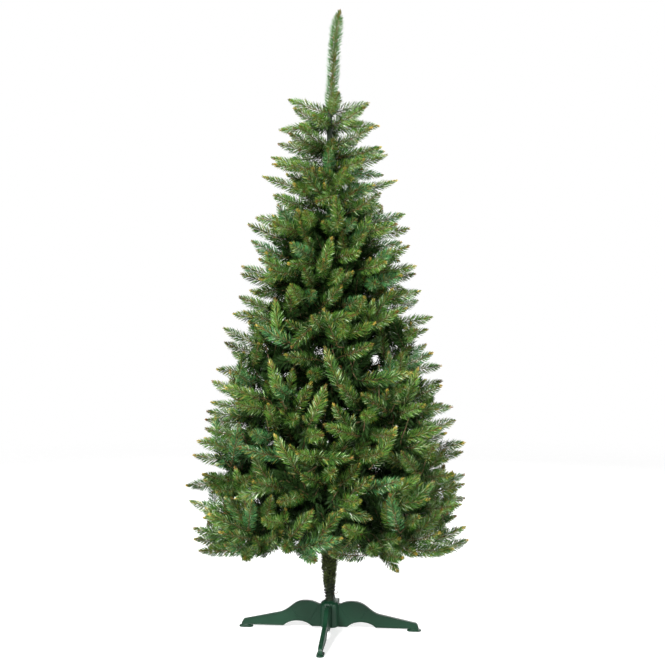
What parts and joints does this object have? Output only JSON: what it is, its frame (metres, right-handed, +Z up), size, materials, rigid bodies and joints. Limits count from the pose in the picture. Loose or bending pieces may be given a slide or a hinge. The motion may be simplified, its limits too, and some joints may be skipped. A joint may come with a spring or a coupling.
{
  "type": "artificial christmas tree",
  "caption": "Slim artificial fir tree with brush-like sprays on wire boughs, a bare metal pole at its foot and a plastic stand with arched legs.",
  "frame": {"origin": "on the floor, under the axis of the pole", "axes": "+Z up along the pole; the picture looks along +Y, with +X to its right"},
  "size_m": [0.8019, 0.8031, 1.8],
  "materials": {
    "needles": "cut plastic foil needles, mixed greens with olive tips, satin",
    "bough_wire": "twisted wire wrapped in plastic foil, matte",
    "pole": "dark green paint, satin",
    "stand_plastic": "moulded dark green plastic, satin"
  },
  "bodies": {
    "root": {"pole": "pole", "pole_garland": "needles", "leader": "needles", "stand_hub": "stand_plastic", "stand_leg_right": "stand_plastic", "stand_leg_back": "stand_plastic", "stand_leg_left": "stand_plastic", "stand_leg_front": "stand_plastic", "bough_1_1": "bough_wire", "bough_1_2": "bough_wire", "bough_1_3": "bough_wire", "bough_1_4": "bough_wire", "bough_2_1": "bough_wire", "bough_2_2": "bough_wire", "bough_2_3": "bough_wire", "bough_2_4": "bough_wire", "bough_3_1": "bough_wire", "bough_3_2": "bough_wire", "bough_3_3": "bough_wire", "bough_3_4": "bough_wire", "bough_4_1": "bough_wire", "bough_4_2": "bough_wire", "bough_4_3": "bough_wire", "bough_4_4": "bough_wire", "foliage_1_1": "needles", "foliage_1_2": "needles", "foliage_1_3": "needles", "foliage_1_4": "needles", "foliage_2_1": "needles", "foliage_2_2": "needles", "foliage_2_3": "needles", "foliage_2_4": "needles", "foliage_3_1": "needles", "foliage_3_2": "needles", "foliage_3_3": "needles", "foliage_3_4": "needles", "foliage_4_1": "needles", "foliage_4_2": "needles", "foliage_4_3": "needles", "foliage_4_4": "needles", "foliage_5_1": "needles", "foliage_5_2": "needles", "foliage_5_3": "needles", "foliage_5_4": "needles", "foliage_6_1": "needles", "foliage_6_2": "needles", "foliage_6_3": "needles", "foliage_6_4": "needles", "foliage_7_1": "needles", "foliage_7_2": "needles", "foliage_7_3": "needles", "foliage_7_4": "needles", "foliage_8_1": "needles", "foliage_8_2": "needles", "foliage_8_3": "needles", "foliage_8_4": "needles", "foliage_9_1": "needles", "foliage_9_2": "needles", "foliage_9_3": "needles", "foliage_9_4": "needles"}
  },
  "joints": []
}
